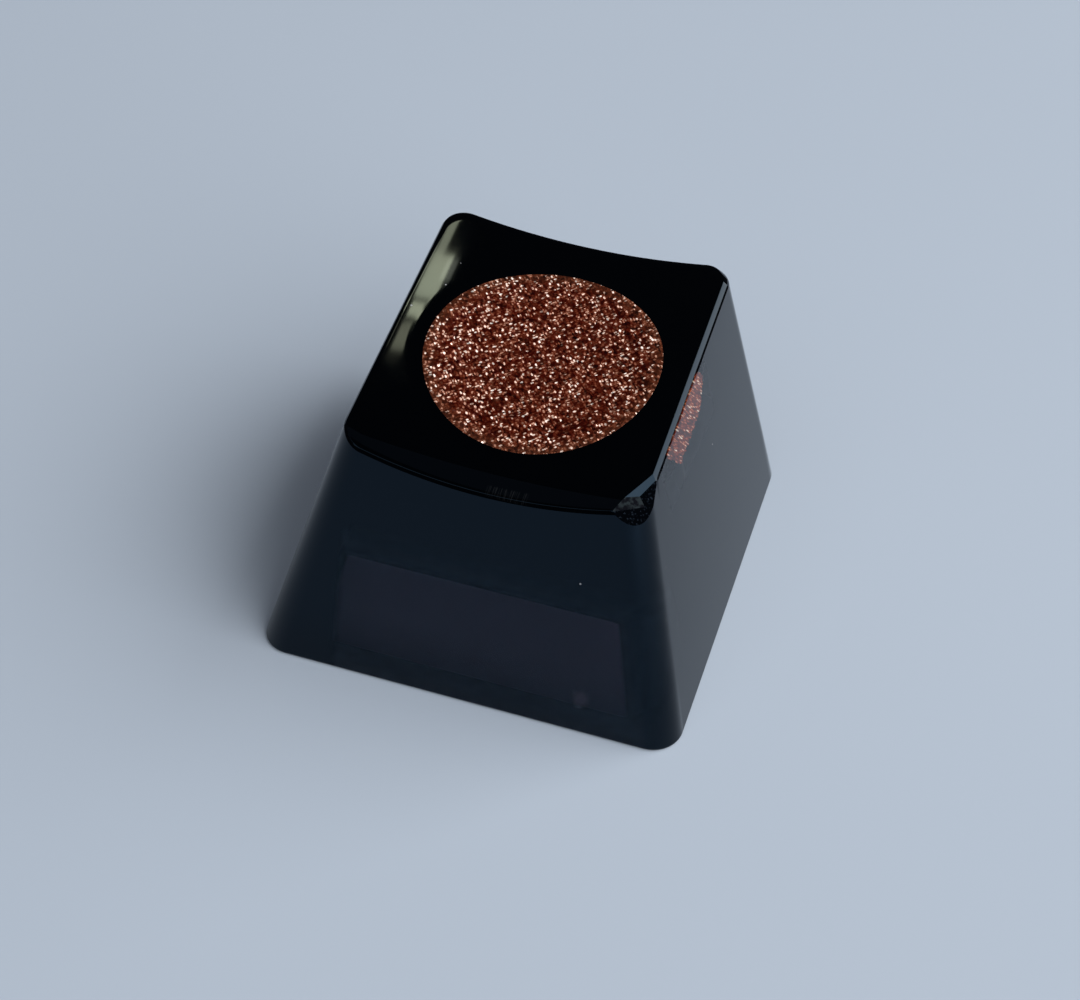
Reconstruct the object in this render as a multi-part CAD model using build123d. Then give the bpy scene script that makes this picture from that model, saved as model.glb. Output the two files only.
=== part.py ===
from build123d import *
from math import atan, cos, hypot, radians, sin, sqrt, tan
import os

os.makedirs("parts", exist_ok=True)

# A keycap for one key, in millimetres: a polished body with a dished top and a round inlay.
# The origin is the middle of the rim's underside, +Z is up, and the typist's side faces -Y.

# Rim: the square outline that the cap stands on
base_width = 18.1
base_depth = 18.1
base_corner = 1.3
base_round = 0.15

# Top: the outline that the sides slope in to, on a plane that leans towards the typist
top_width = 12.46
top_depth = 13.3
top_shift = 0.95
top_height = 10.85
top_tilt = 7.6
top_corner = 1.1

# Dish: a shallow cylinder that runs from front to back, and rolls down in a narrow lip at the front
dish_depth = 0.73
lip_width = 0.5
lip_angle = 9.0
lip_roll = 2.0
edge_round = 0.2

# Flat that the polishing left on the top's front right corner
corner_flat_depth = 0.43
corner_flat_lean = 32.0
corner_flat_turn = 52.0

# Hollow under the cap, with sides that follow the outer slopes
wall = 1.9
cavity_height = 4.1
cavity_corner = 0.6

# Stem: a round post with a cross socket that grips the switch
stem_diameter = 5.5
stem_recess = 1.0
stem_root = 0.3
slot_length = 4.1
slot_bar_x = 1.3
slot_bar_y = 1.15
slot_depth = 4.0

# Inlay: a round plug bonded into a flat-bottomed pocket and ground flush with the dish
inlay_diameter = 9.73
inlay_thickness = 2.6
inlay_shift_x = 0.07
inlay_shift_y = -0.11
bond_gap = 0.03

# Stock left above the top's outline before the dish is cut
trim = 1.0

# Slopes of the four sides, as run over rise
top_rise = tan(radians(top_tilt)) * top_depth / 2
side_slope = (base_width - top_width) / 2 / top_height
front_slope = (base_depth / 2 + top_shift - top_depth / 2) / (top_height - top_rise)
back_slope = (base_depth / 2 - top_shift - top_depth / 2) / (top_height + top_rise)

# Frame of the leaning top: its local Y runs from front to back along the dish
top_plane = Plane(
    origin=(0, top_shift, top_height),
    x_dir=(1, 0, 0),
    z_dir=(0, -sin(radians(top_tilt)), cos(radians(top_tilt))),
)
top_length = top_depth / cos(radians(top_tilt))
dish_radius = (top_width**2 / 4 + dish_depth**2) / (2 * dish_depth)


def blend(low, high, share):
    """Value at a share of the way from low to high."""
    return low + (high - low) * share


def side_outline(share):
    """Outline of the sides at a share of the way from the rim (0) to the leaning top (1)."""
    front_y = blend(-base_depth / 2, top_shift - top_depth / 2, share)
    back_y = blend(base_depth / 2, top_shift + top_depth / 2, share)
    front_z = share * (top_height - top_rise)
    back_z = share * (top_height + top_rise)
    lean = atan((back_z - front_z) / (back_y - front_y))
    plane = Plane(
        origin=(0, (front_y + back_y) / 2, (front_z + back_z) / 2),
        x_dir=(1, 0, 0),
        z_dir=(0, -sin(lean), cos(lean)),
    )
    width = blend(base_width, top_width, share)
    length = hypot(back_y - front_y, back_z - front_z)
    return plane * RectangleRounded(width, length, blend(base_corner, top_corner, share))


def level_outline(height, inset, corner):
    """Level outline of the sides at a height, set in from the outer faces."""
    half_width = base_width / 2 - inset - side_slope * height
    front_y = -base_depth / 2 + inset + front_slope * height
    back_y = base_depth / 2 - inset - back_slope * height
    place = Pos(0, (front_y + back_y) / 2, height)
    return place * RectangleRounded(2 * half_width, back_y - front_y, corner)


def dish_tool():
    """Cylinder that hollows the top."""
    roller = Rot(90, 0, 0) * Cylinder(dish_radius, 2 * base_depth)
    return top_plane * Pos(0, 0, dish_radius - dish_depth) * roller


def lip_tool():
    """The dish's cylinder again, dipped towards the front from the line where the lip begins."""
    roller = Rot(90, 0, 0) * Cylinder(dish_radius, 2 * base_depth)
    hinge = top_plane * Pos(0, lip_width - top_length / 2, -dish_depth)
    return hinge * Rot(lip_angle, 0, 0) * Pos(0, 0, dish_radius) * roller


def plug(radius):
    """Round plug that stands on the pocket's floor and reaches above the top."""
    floor = top_plane * Pos(inlay_shift_x, inlay_shift_y, -dish_depth - inlay_thickness)
    height = inlay_thickness + dish_depth + trim
    return floor * Cylinder(radius, height, align=(Align.CENTER, Align.CENTER, Align.MIN))


def looks_up(face):
    """Whether a face looks up more than it looks sideways."""
    normal = face.normal_at()
    return normal.Z > hypot(normal.X, normal.Y)


def make_shell():
    """Sloping block with the dish and lip cut, the lip rolled over and every outer edge eased."""
    block = loft([side_outline(0), side_outline(1 + trim / top_height)], ruled=True)
    block = fillet(block.faces().sort_by(Axis.Z)[0].edges(), base_round)
    block = block - dish_tool() - lip_tool()
    dish, lip = filter(looks_up, block.faces())
    block = fillet(list(set(dish.edges()) & set(lip.edges())), lip_roll)
    rim_edges = set()
    for face in filter(looks_up, block.faces()):
        rim_edges ^= set(face.edges())
    return fillet(list(rim_edges), edge_round)


def corner_tool():
    """Block whose underside is the flat on the top's front right corner."""
    inset = top_corner * (1 - sqrt(0.5))
    crest_x = top_width / 2 - inset
    crest_y = top_shift - top_depth / 2 + inset
    crest_z = top_height + tan(radians(top_tilt)) * (crest_y - top_shift)
    turn = radians(corner_flat_turn)
    outward = sin(radians(corner_flat_lean))
    lean = Plane(
        origin=(crest_x, crest_y, crest_z),
        z_dir=(outward * cos(turn), -outward * sin(turn), cos(radians(corner_flat_lean))),
    )
    size = 4 * top_corner
    block = Box(size, size, size, align=(Align.CENTER, Align.CENTER, Align.MIN))
    return lean * Pos(0, 0, -corner_flat_depth) * block


def make_cavity():
    """Hollow that opens downwards, one wall inside the outer faces."""
    mouth = level_outline(0, wall, cavity_corner)
    ceiling = level_outline(cavity_height, wall, cavity_corner)
    return loft([mouth, ceiling], ruled=True)


def make_stem():
    """Round post under the ceiling of the hollow, with a small root."""
    place = Pos(0, 0, stem_recess)
    post = place * Cylinder(
        stem_diameter / 2,
        cavity_height - stem_recess,
        align=(Align.CENTER, Align.CENTER, Align.MIN),
    )
    root = Pos(0, 0, cavity_height - stem_root) * Cone(
        stem_diameter / 2,
        stem_diameter / 2 + stem_root,
        stem_root,
        align=(Align.CENTER, Align.CENTER, Align.MIN),
    )
    return post + root


def make_socket():
    """Cross-shaped socket that runs up into the stem."""
    align = (Align.CENTER, Align.CENTER, Align.MIN)
    bar_x = Box(slot_length, slot_bar_x, slot_depth, align=align)
    bar_y = Box(slot_bar_y, slot_length, slot_depth, align=align)
    return Pos(0, 0, stem_recess) * (bar_x + bar_y)


def make_body():
    """Whole body: shell, hollow, stem, socket and the pocket for the inlay."""
    body = make_shell() - corner_tool() - make_cavity() + make_stem()
    return body - make_socket() - plug(inlay_diameter / 2 + bond_gap)


def make_inlay():
    """Round plug, flat underneath and dished on top to match the body."""
    return plug(inlay_diameter / 2) - dish_tool()


export_step(make_body(), "parts/cap_body.step")
export_step(make_inlay(), "parts/glitter_inlay.step")
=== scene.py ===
"""Looks of a tapered dark resin keycap with a round copper glitter inlay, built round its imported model."""

import logging
import math
from collections.abc import Callable, Iterable
from dataclasses import astuple, dataclass
from enum import Enum
from functools import partial, reduce
from operator import mul
from typing import Any, ClassVar

import bmesh
import bpy
from mathutils import Matrix, Vector


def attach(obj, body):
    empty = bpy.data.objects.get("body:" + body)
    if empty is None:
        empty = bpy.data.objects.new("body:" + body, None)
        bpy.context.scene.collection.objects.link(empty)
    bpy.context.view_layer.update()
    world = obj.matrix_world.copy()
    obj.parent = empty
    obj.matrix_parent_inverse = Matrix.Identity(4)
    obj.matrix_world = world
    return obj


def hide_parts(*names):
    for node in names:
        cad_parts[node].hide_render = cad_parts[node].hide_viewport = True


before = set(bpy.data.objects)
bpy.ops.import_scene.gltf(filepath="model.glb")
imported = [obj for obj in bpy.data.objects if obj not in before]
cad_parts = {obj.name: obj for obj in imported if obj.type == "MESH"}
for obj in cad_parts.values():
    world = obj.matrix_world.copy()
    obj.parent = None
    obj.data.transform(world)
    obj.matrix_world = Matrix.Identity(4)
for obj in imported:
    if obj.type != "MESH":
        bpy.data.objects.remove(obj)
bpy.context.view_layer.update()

log = logging.getLogger("keycap")

MM = 0.001
BODY = "root"
CREASE = math.radians(38.0)
CUT_MERGE = 1e-5
ORIGIN = (0.0, 0.0, 0.0)

Pair = tuple[float, float]
Span = tuple[float, float]
Triple = tuple[float, float, float]
Colour = tuple[float, float, float]
Stops = tuple[tuple[float, Colour], ...]
Place = Callable[[int], Vector]


class Node(Enum):
    """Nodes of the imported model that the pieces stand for."""

    BODY = "cap_body"
    INLAY = "glitter_inlay"


class Slot(Enum):
    """Names of the imported model's material slots; the pieces here are given their own materials instead.
    """

    RESIN = "dark_resin"
    GLITTER = "copper_glitter"


class Finish(Enum):
    """Finishes on the body, by their place in its list of materials."""

    POLISHED = 0
    AS_CAST = 1
    KNOCKED = 2
    ROUGH = 3


class Ending(Enum):
    """Nodes that end a tree."""

    MATERIAL = "ShaderNodeOutputMaterial"
    WORLD = "ShaderNodeOutputWorld"


class Socket:
    """An output of a node, on which arithmetic adds Math nodes."""

    def __init__(self, bench: "NodeBench", link: bpy.types.NodeSocket) -> None:
        """Wraps one output of a node on the bench."""
        self.bench = bench
        self.link = link

    def __add__(self, other: "Socket | float") -> "Socket":
        """Sum of two values."""
        return self.bench.math("ADD", self, other)

    def __radd__(self, other: float) -> "Socket":
        """Sum with a number on the left."""
        return self.bench.math("ADD", other, self)

    def __sub__(self, other: "Socket | float") -> "Socket":
        """Difference of two values."""
        return self.bench.math("SUBTRACT", self, other)

    def __rsub__(self, other: float) -> "Socket":
        """Difference from a number on the left."""
        return self.bench.math("SUBTRACT", other, self)

    def __mul__(self, other: "Socket | float") -> "Socket":
        """Product of two values."""
        return self.bench.math("MULTIPLY", self, other)

    def __rmul__(self, other: float) -> "Socket":
        """Product with a number on the left."""
        return self.bench.math("MULTIPLY", other, self)

    def step(self, span: Span, unit: float = 1.0) -> "Socket":
        """Smooth step over a span of values.

        Args:
            span: Values at which the step is 0 and 1.
            unit: Unit that the span is given in.

        Returns:
            The step as a value from 0 to 1.
        """
        start, end = span
        node = self.bench.add(
            "ShaderNodeMapRange",
            {"interpolation_type": "SMOOTHSTEP"},
            {"Value": self, "From Min": start * unit, "From Max": end * unit},
        )
        return self.bench.read(node, "Result")


@dataclass(frozen=True)
class Grain:
    """A smooth noise: size of its patches in millimetres, finer layers and stretch along each axis."""

    size: float
    layers: float = 2.0
    stretch: Triple = (1.0, 1.0, 1.0)


class NodeBench:
    """A material's or world's node tree, and the ways of adding to it."""

    def __init__(self, tree: bpy.types.NodeTree) -> None:
        """Starts with an empty tree."""
        self.tree = tree
        tree.nodes.clear()

    def add(
        self,
        kind: str,
        settings: dict[str, Any] | None = None,
        inputs: dict[str | int, Any] | None = None,
    ) -> bpy.types.Node:
        """Adds a node, sets it up and joins or sets its sockets.

        Args:
            kind: Blender's name for the node's type.
            settings: Properties of the node; "stops" holds a colour ramp's stops.
            inputs: Values or sockets for the node's inputs, by name or number.

        Returns:
            The new node.
        """
        node = self.tree.nodes.new(kind)
        for name, value in (settings or {}).items():
            if name == "stops":
                self._set_stops(node.color_ramp, value)
            else:
                setattr(node, name, value)
        for name, value in (inputs or {}).items():
            socket = node.inputs[name]
            if isinstance(value, Socket):
                self.tree.links.new(value.link, socket)
            elif socket.type == "RGBA":
                socket.default_value = (*value, 1.0)
            else:
                socket.default_value = value
        return node

    def _set_stops(self, ramp: bpy.types.ColorRamp, stops: Stops) -> None:
        """Gives a colour ramp its stops.

        Args:
            ramp: The ramp, with Blender's two stops.
            stops: Place and colour of each stop, in order.
        """
        while len(ramp.elements) < len(stops):
            ramp.elements.new(1.0)
        for element, (place, colour) in zip(ramp.elements, stops):
            element.position = place
            element.color = (*colour, 1.0)

    def read(self, node: bpy.types.Node, name: str | int) -> Socket:
        """One output of a node."""
        return Socket(self, node.outputs[name])

    def math(self, operation: str, first: Socket | float, second: Socket | float) -> Socket:
        """Adds a Math node for an expression on values."""
        node = self.add("ShaderNodeMath", {"operation": operation}, {0: first, 1: second})
        return self.read(node, 0)

    def vector(
        self, operation: str, first: Socket, second: Socket | Triple, output: str = "Vector"
    ) -> Socket:
        """Adds a Vector Math node and reads its vector, or its value where that is named."""
        node = self.add("ShaderNodeVectorMath", {"operation": operation}, {0: first, 1: second})
        return self.read(node, output)

    def measure(self, operation: str, first: Socket, second: Triple) -> Socket:
        """Adds a Vector Math node that gives a value."""
        return self.vector(operation, first, second, "Value")

    def mix(self, share: Socket, first: Socket | Colour, second: Socket | Colour) -> Socket:
        """Blends two colours.

        Args:
            share: How much of the second colour there is.
            first: Colour at a share of 0.
            second: Colour at a share of 1.

        Returns:
            The blended colour.
        """
        # The Mix node takes its colours at inputs 6 and 7 and gives the blend at output 2
        node = self.add("ShaderNodeMix", {"data_type": "RGBA"}, {0: share, 6: first, 7: second})
        return self.read(node, 2)

    def ramp(self, value: Socket, stops: Stops) -> Socket:
        """Turns a value into a colour by a ramp's stops."""
        node = self.add("ShaderNodeValToRGB", {"stops": stops}, {0: value})
        return self.read(node, 0)

    def coords(self) -> Socket:
        """Coordinates of the piece, in metres."""
        return self.read(self.add("ShaderNodeTexCoord"), "Object")

    def laid(self, **inputs: Any) -> Socket:
        """Coordinates of the piece, moved, turned or drawn out by a Mapping node's inputs."""
        inputs["Vector"] = self.coords()
        return self.read(self.add("ShaderNodeMapping", {"vector_type": "TEXTURE"}, inputs), 0)

    def uv(self, name: str) -> Socket:
        """Coordinates of one of the piece's own maps."""
        return self.read(self.add("ShaderNodeUVMap", {"uv_map": name}), 0)

    def normal(self) -> Socket:
        """Direction that the surface faces."""
        return self.read(self.add("ShaderNodeNewGeometry"), "Normal")

    def noise(self, grain: Grain) -> Socket:
        """Smooth noise on the piece's coordinates.

        Args:
            grain: Size and shape of its patches.

        Returns:
            The noise, about 0.5.
        """
        place, scale = self.laid(Scale=grain.stretch), 1.0 / (grain.size * MM)
        inputs = {"Vector": place, "Scale": scale, "Detail": grain.layers}
        return self.read(self.add("ShaderNodeTexNoise", inputs=inputs), 0)

    def cells(self, size: float, turn: float = 0.0, stretch: float = 1.0) -> bpy.types.Node:
        """Cells on the piece's coordinates.

        Args:
            size: Size of the cells, in millimetres.
            turn: Angle from straight back, in degrees, along which they are drawn out.
            stretch: How much longer than wide they are.

        Returns:
            The node of the cells.
        """
        place = self.laid(Rotation=(0.0, 0.0, math.radians(turn)), Scale=(1.0, stretch, 1.0))
        return self.add("ShaderNodeTexVoronoi", inputs={"Vector": place, "Scale": 1.0 / (size * MM)})

    def _split(self, kind: str, whole: Socket) -> tuple[Socket, Socket, Socket]:
        """The three outputs of a node that takes a vector or a colour apart."""
        node = self.add(kind, inputs={0: whole})
        return self.read(node, 0), self.read(node, 1), self.read(node, 2)

    def axes(self, vector: Socket) -> tuple[Socket, Socket, Socket]:
        """The three parts of a vector, as values."""
        return self._split("ShaderNodeSeparateXYZ", vector)

    def parts(self, colour: Socket) -> tuple[Socket, Socket, Socket]:
        """The three parts of a colour, as values."""
        return self._split("ShaderNodeSeparateColor", colour)

    def bump(self, relief: Socket, height: float, strength: float = 1.0) -> Socket:
        """Normal of a surface with fine relief.

        Args:
            relief: The relief, from 0 to 1.
            height: How high it stands, in millimetres.
            strength: How much of it shows.

        Returns:
            The normal.
        """
        inputs = {"Strength": strength, "Distance": height * MM, "Height": relief}
        return self.read(self.add("ShaderNodeBump", inputs=inputs), "Normal")

    def principled(self, inputs: dict[str | int, Any]) -> Socket:
        """Adds a Principled shader."""
        return self.read(self.add("ShaderNodeBsdfPrincipled", inputs=inputs), 0)

    def cover(self, share: Socket, under: Socket, over: Socket) -> Socket:
        """Lays one shader over another by a share."""
        return self.read(self.add("ShaderNodeMixShader", inputs={0: share, 1: under, 2: over}), 0)

    def end(self, surface: Socket, volume: Socket | None = None, ending: Ending = Ending.MATERIAL) -> None:
        """Ends the tree.

        Args:
            surface: Shader of the surface.
            volume: Shader of the inside, where there is one.
            ending: Node that ends it.
        """
        self.add(ending.value, inputs={"Surface": surface} | ({"Volume": volume} if volume else {}))


def new_bench(name: str) -> tuple[bpy.types.Material, NodeBench]:
    """Makes a material with an empty node tree.

    Args:
        name: Name of the material.

    Returns:
        The material, and the bench for its nodes.
    """
    material = bpy.data.materials.new(name)
    material.use_nodes = True
    return material, NodeBench(material.node_tree)


def in_metres(place: Triple | Vector) -> Triple:
    """A place given in millimetres, in metres."""
    x, y, z = place
    return x * MM, y * MM, z * MM


@dataclass(frozen=True)
class CapForm:
    """Forms that the pieces share: square rim, leaning top, dish, lip and inlay, in millimetres."""

    # Rim that the cap stands on, and the leaning top that its sides run up to
    rim_half: float = 9.05
    top_width: float = 12.46
    top_depth: float = 13.3
    top_shift: float = 0.95
    top_height: float = 10.85
    top_tilt: float = math.radians(7.6)
    top_corner: float = 1.1

    # Dish along the top, and the lip that dips at its front
    dish_depth: float = 0.73
    lip_width: float = 0.5
    lip_angle: float = math.radians(9.0)
    lip_roll: float = 2.0

    # Plug in the dish
    inlay_radius: float = 4.866
    inlay_depth: float = 2.6
    inlay_shift: Pair = (0.07, -0.11)

    @property
    def top_length(self) -> float:
        """Length of the top along its lean."""
        return self.top_depth / math.cos(self.top_tilt)

    @property
    def side_run(self) -> float:
        """How far the left and right sides lean in from the rim to the top."""
        return self.rim_half - self.top_width / 2

    @property
    def slopes(self) -> Triple:
        """Slopes of the sides as run over rise.

        Returns:
            The slope of the left and right sides, the front's and the back's.
        """
        half_depth = self.top_depth / 2
        rise = math.tan(self.top_tilt) * half_depth
        front = (self.rim_half + self.top_shift - half_depth) / (self.top_height - rise)
        back = (self.rim_half - self.top_shift - half_depth) / (self.top_height + rise)
        return self.side_run / self.top_height, front, back

    @property
    def corner_crest(self) -> Vector:
        """Point of the leaning plane at the middle of the top's front right corner.

        Returns:
            The point.
        """
        inset = self.top_corner * (1.0 - math.sqrt(0.5))
        behind = inset - self.top_depth / 2
        rise = math.tan(self.top_tilt) * behind
        return Vector((self.top_width / 2 - inset, self.top_shift + behind, self.top_height + rise))

    @property
    def dish_radius(self) -> float:
        """Radius of the dish's cylinder."""
        return ((self.top_width / 2) ** 2 + self.dish_depth**2) / (2 * self.dish_depth)

    def point(self, across: float, along: float, up: float) -> Vector:
        """Place in the cap's frame of a point given in the leaning plane.

        Args:
            across: Distance to the right.
            along: Distance towards the back, up the lean.
            up: Distance out of the plane.

        Returns:
            The point.
        """
        lean_y, lean_z = math.cos(self.top_tilt), math.sin(self.top_tilt)
        run = along * lean_y - up * lean_z
        rise = along * lean_z + up * lean_y
        return Vector((across, self.top_shift + run, self.top_height + rise))

    def local(self, spot: Vector) -> Vector:
        """Turns a point of the cap's frame into the leaning plane's own coordinates.

        Args:
            spot: The point.

        Returns:
            Its distances across, along and out of the plane.
        """
        run, rise = spot.y - self.top_shift, spot.z - self.top_height
        lean_y, lean_z = math.cos(self.top_tilt), math.sin(self.top_tilt)
        return Vector((spot.x, run * lean_y + rise * lean_z, rise * lean_y - run * lean_z))

    def dish(self, across: float, along: float) -> float:
        """Height of the dished surface out of the leaning plane.

        Args:
            across: Distance to the right.
            along: Distance towards the back.

        Returns:
            The height, which is below 0 inside the rim.
        """
        climb = self.dish_radius - math.sqrt(self.dish_radius**2 - across**2)
        half_angle = math.tan(self.lip_angle / 2)
        past = along + self.top_length / 2 - self.lip_width + climb * half_angle
        reach = self.lip_roll * half_angle
        if past >= reach:
            drop = 0.0
        elif past > -reach * math.cos(self.lip_angle):
            drop = self.lip_roll - math.sqrt(self.lip_roll**2 - (reach - past) ** 2)
        else:
            drop = -past * math.tan(self.lip_angle)
        return climb - self.dish_depth - drop

    def on_dish(self, across: float, along: float, rise: float = 0.0) -> Vector:
        """Point of the dished surface above a place in the leaning plane, or a rise above it."""
        return self.point(across, along, self.dish(across, along) + rise)


@dataclass(frozen=True)
class Pane:
    """A block with soft sides, in millimetres. Each side has the places at which it begins and is full."""

    across: tuple[Span, Span]
    along: tuple[Span, Span]
    up: tuple[Span, Span]

    def mask(self, bench: NodeBench) -> Socket:
        """Mask of the block.

        Args:
            bench: Bench of the material.

        Returns:
            1 inside the block, 0 outside.
        """
        pairs = zip(bench.axes(bench.coords()), (self.across, self.along, self.up))
        return reduce(mul, (place.step(side, MM) for place, sides in pairs for side in sides))


@dataclass(frozen=True)
class PolishedResin:
    """Cast resin, black in bulk and smoky where it is thin, polished by hand.

    What lies under the surface shows only through the two panes.
    """

    name: str = "polished_resin"

    # Resin in bulk, and where it is thin
    bulk: Colour = (0.0001, 0.0001, 0.0001)
    bulk_gloss: float = 0.92
    thin: Colour = (0.96, 0.96, 0.98)
    reflection_tint: Colour = (0.23, 0.38, 0.56)
    refraction: float = 1.55
    smoke: Colour = (0.35, 0.33, 0.35)
    smoke_density: float = 1000.0
    front_pane: Pane = Pane(
        across=((-5.85, -5.35), (8.40, 7.00)),
        along=((-9.60, -9.30), (-5.20, -5.60)),
        up=((-0.50, 0.00), (6.60, 5.30)),
    )
    right_pane: Pane = Pane(
        across=((6.225, 6.240), (8.00, 7.60)),
        along=((-3.70, -3.40), (2.80, 2.50)),
        up=((7.95, 8.25), (12.50, 12.00)),
    )

    # Polish, with the smears of fingers and a faint ripple
    polish: float = 0.036
    smear: float = 0.03
    smear_grain: Grain = Grain(3.0)
    smear_levels: Span = (0.52, 0.75)
    ripple_grain: Grain = Grain(2.4, 1.0)
    ripple_height: float = 0.0003

    # Dust, a haze in streaks and scratches on the lip
    dust: Colour = (0.30, 0.31, 0.33)
    dust_roughness: float = 0.9
    dust_spacing: float = 1.1
    dust_size: float = 0.045
    dust_least: float = 0.4
    dust_picked: Span = (0.45, 0.46)
    haze: float = 0.005
    haze_grain: Grain = Grain(0.45, 3.0, (1.0, 1.0, 12.0))
    haze_levels: Span = (0.42, 0.68)
    haze_lean: Span = (0.5, 0.8)
    scratch: float = 0.032
    scratch_grain: Grain = Grain(0.05, 1.0, (1.0, 20.0, 20.0))
    scratch_levels: Span = (0.48, 0.70)
    scratch_patch: Pane = Pane(
        across=((-0.10, 0.10), (1.70, 1.50)),
        along=((-6.20, -6.00), (-5.55, -5.65)),
        up=((8.95, 9.00), (9.60, 9.50)),
    )

    def _gloss(self, bench: NodeBench, colour: Colour, transmission: float, gloss: float) -> Socket:
        """Polished shader, duller where fingers have smeared it, with a faint ripple.

        Args:
            bench: Bench of the material.
            colour: Colour of the resin.
            transmission: How much of the light goes into it.
            gloss: Share of the full reflection that it has.

        Returns:
            The shader.
        """
        smear = bench.noise(self.smear_grain).step(self.smear_levels) * self.smear
        return bench.principled(
            {
                "Base Color": colour,
                "Roughness": self.polish + smear,
                "IOR": self.refraction,
                "Transmission Weight": transmission,
                "Specular Tint": tuple(part * gloss for part in self.reflection_tint),
                "Normal": bench.bump(bench.noise(self.ripple_grain), self.ripple_height),
            }
        )

    def _specks(self, bench: NodeBench) -> Socket:
        """Mask of the dust specks that lie on the surface.

        Args:
            bench: Bench of the material.

        Returns:
            1 on a speck, 0 elsewhere.
        """
        cells = bench.cells(self.dust_spacing)
        pick, _, size = bench.parts(bench.read(cells, "Color"))
        reach = (self.dust_least + size * (1.0 - self.dust_least)) * (self.dust_size / self.dust_spacing)
        near = bench.math("LESS_THAN", bench.read(cells, "Distance"), reach)
        return near * pick.step(self.dust_picked)

    def _streaks(self, bench: NodeBench) -> Socket:
        """Share of dull haze, in upright streaks on the left and right sides.

        Args:
            bench: Bench of the material.

        Returns:
            The share of the haze.
        """
        lean, _, _ = bench.axes(bench.normal())
        streaks = bench.noise(self.haze_grain).step(self.haze_levels)
        return streaks * (lean * lean).step(self.haze_lean) * self.haze

    def _scratches(self, bench: NodeBench) -> Socket:
        """Share of dull scratches on the front lip, side by side."""
        lines = bench.noise(self.scratch_grain).step(self.scratch_levels)
        return lines * self.scratch_patch.mask(bench) * self.scratch

    def material(self) -> bpy.types.Material:
        """Builds the material.

        Returns:
            The material, with absorption inside and specks of dust outside.
        """
        material, bench = new_bench(self.name)
        panes = bench.math("MAXIMUM", self.front_pane.mask(bench), self.right_pane.mask(bench))
        bulk = self._gloss(bench, self.bulk, transmission=0.0, gloss=self.bulk_gloss)
        resin = bench.cover(panes, bulk, self._gloss(bench, self.thin, transmission=1.0, gloss=1.0))
        dust = bench.principled(
            {"Base Color": self.dust, "Roughness": self.dust_roughness, "Specular IOR Level": 0.0}
        )
        dull = bench.math("MAXIMUM", self._streaks(bench), self._scratches(bench))
        dusty = bench.math("MAXIMUM", self._specks(bench), dull)
        smoke = bench.add(
            "ShaderNodeVolumeAbsorption", inputs={"Color": self.smoke, "Density": self.smoke_density}
        )
        bench.end(bench.cover(dusty, resin, dust), bench.read(smoke, 0))
        return material


@dataclass(frozen=True)
class CastResin:
    """The same resin as it came out of the mould, matt and dark, with a paler glow painted on the front wall
    that stands for light inside the hollow.
    """

    name: str = "cast_resin"
    light: Colour = (0.020, 0.022, 0.030)
    dark: Colour = (0.012, 0.013, 0.018)
    grain: Grain = Grain(0.6, 4.0)
    grain_levels: Span = (0.35, 0.65)
    grain_height: float = 0.004
    grain_strength: float = 0.6
    # Painted light: a paler glow on the hollow's front wall stands for light inside the hollow, seen through
    # the front
    painted_glow: Colour = (0.340, 0.300, 0.460)
    glow_front: Span = (-4.9, -5.3)
    glow_lean: Span = (0.6, 0.8)
    glow_low: Span = (-1.5, 2.0)
    # A pale lavender spot low on the front wall, with a ragged border
    pale_spot: Colour = (0.750, 0.680, 0.900)
    pale_spot_place: Triple = (4.72, -7.05, 0.35)
    pale_spot_reach: Span = (0.46, 0.14)
    pale_spot_ragged: Pair = (0.4, 1.2)
    roughness: float = 0.5
    shine: float = 0.25

    def _painted_glow_mask(self, bench: NodeBench) -> Socket:
        """Mask of the painted glow on the hollow's front wall.

        Args:
            bench: Bench of the material.

        Returns:
            1 in the bloom, 0 elsewhere.
        """
        _, along, up = bench.axes(bench.coords())
        _, lean, _ = bench.axes(bench.normal())
        front = along.step(self.glow_front, MM) * (lean * lean).step(self.glow_lean)
        return front * up.step(self.glow_low, MM)

    def _pale_spot_mask(self, bench: NodeBench, mottle: Socket) -> Socket:
        """Mask of the pale spot low on the front wall.

        Args:
            bench: Bench of the material.
            mottle: Noise that makes its border ragged.

        Returns:
            1 in the pale spot, 0 elsewhere.
        """
        least, more = self.pale_spot_ragged
        away = bench.measure("DISTANCE", bench.coords(), in_metres(self.pale_spot_place))
        return (away * (least + more * mottle)).step(self.pale_spot_reach, MM)

    def material(self) -> bpy.types.Material:
        """Builds the material.

        Returns:
            The material, mottled, with the painted glow and the pale spot.
        """
        material, bench = new_bench(self.name)
        mottle = bench.noise(self.grain)
        colour = bench.mix(mottle.step(self.grain_levels), self.dark, self.light)
        # Painted light: the paler glow on the front wall stands for light inside the hollow
        colour = bench.mix(self._painted_glow_mask(bench), colour, self.painted_glow)
        cast = bench.principled(
            {
                # A pale lavender spot low on the front wall
                "Base Color": bench.mix(self._pale_spot_mask(bench, mottle), colour, self.pale_spot),
                "Roughness": self.roughness,
                "Specular IOR Level": self.shine,
                "Normal": bench.bump(mottle, self.grain_height, self.grain_strength),
            }
        )
        bench.end(cast)
        return material


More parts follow.
